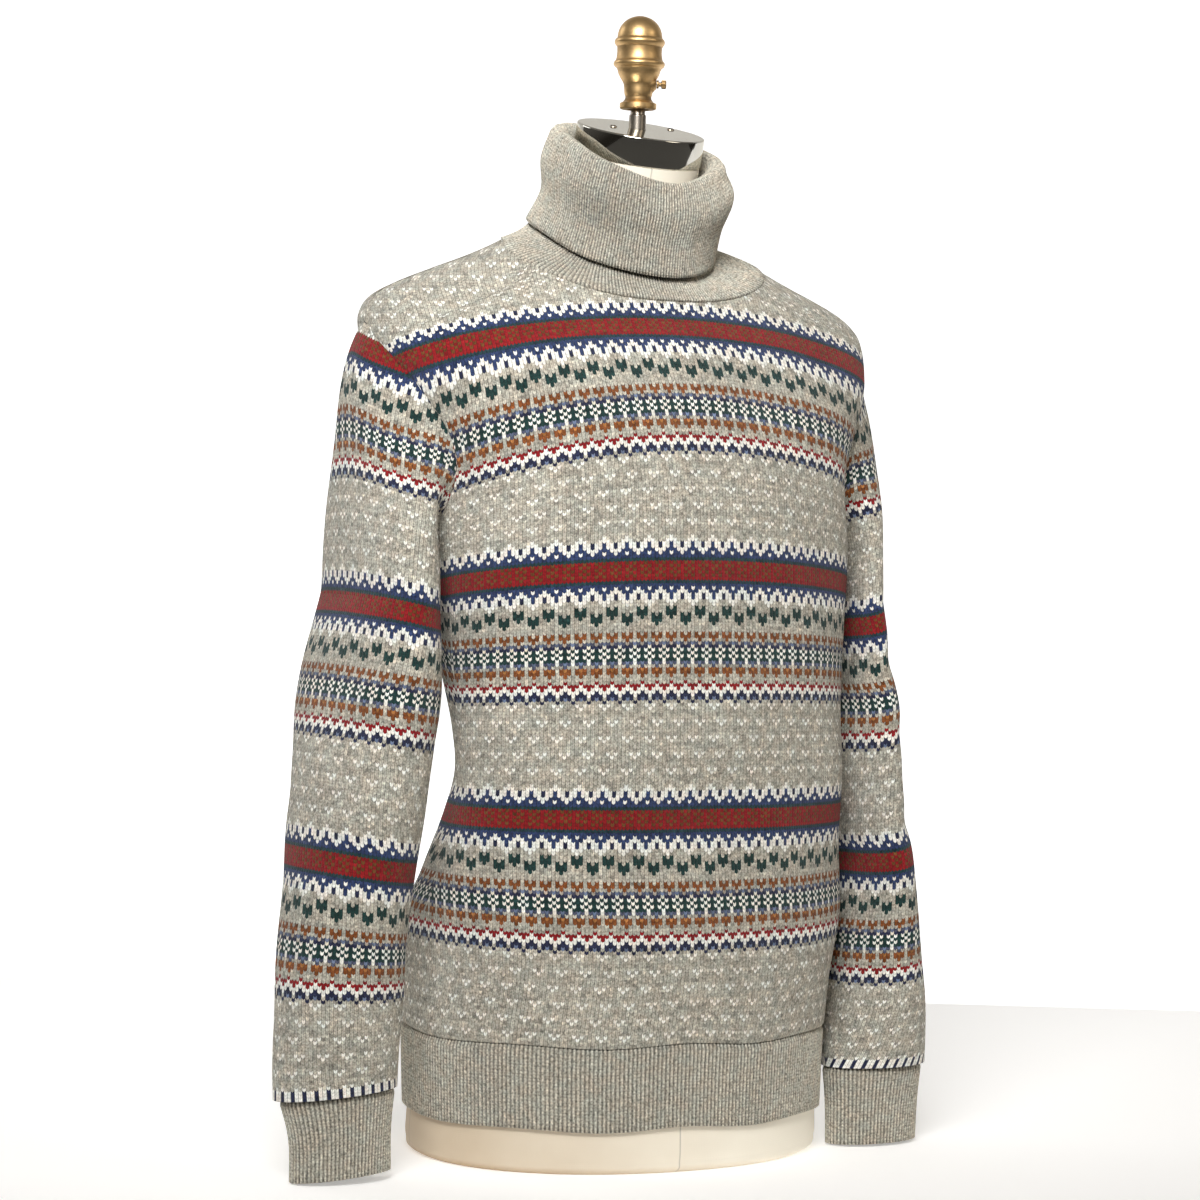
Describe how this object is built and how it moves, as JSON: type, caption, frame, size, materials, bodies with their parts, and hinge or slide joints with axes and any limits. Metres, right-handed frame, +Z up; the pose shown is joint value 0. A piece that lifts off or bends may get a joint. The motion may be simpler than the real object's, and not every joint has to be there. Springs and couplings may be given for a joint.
{
  "type": "turtleneck sweater on a limbless dress form",
  "caption": "Knitted turtleneck sweater in colour-patterned bands, with folded collar and ribbed cuffs and hem, worn on a limbless tailor's form with a metal cap and finial.",
  "frame": {"origin": "middle of the form's flat underside", "axes": "+Z up, -Y out of the chest, -X towards the wearer's right side"},
  "size_m": [0.586, 0.2909, 0.9182],
  "materials": {
    "patterned_knit": "matte",
    "grey_knit": "matte",
    "cream_canvas": "matte",
    "polished_chrome": "polished",
    "brushed_steel": "brushed",
    "aged_brass": "satin"
  },
  "bodies": {
    "root": {"front": "patterned_knit", "back": "patterned_knit", "sleeve_right": "patterned_knit", "sleeve_left": "patterned_knit", "collar": "grey_knit", "hem_rib": "grey_knit", "cuff_right": "grey_knit", "cuff_left": "grey_knit", "form_torso": "cream_canvas", "form_neck_cap": "polished_chrome", "form_pole": "brushed_steel", "form_finial": "aged_brass"},
    "clamp_screw": {"form_thumbscrew": "aged_brass"}
  },
  "joints": [
    {"name": "clamp_screw_turn", "type": "hinge", "parent": "root", "child": "clamp_screw", "pos_m": [0, 0.006, 0.8628], "axis": [0.866, -0.5, 0], "range_deg": [0, 360]}
  ]
}
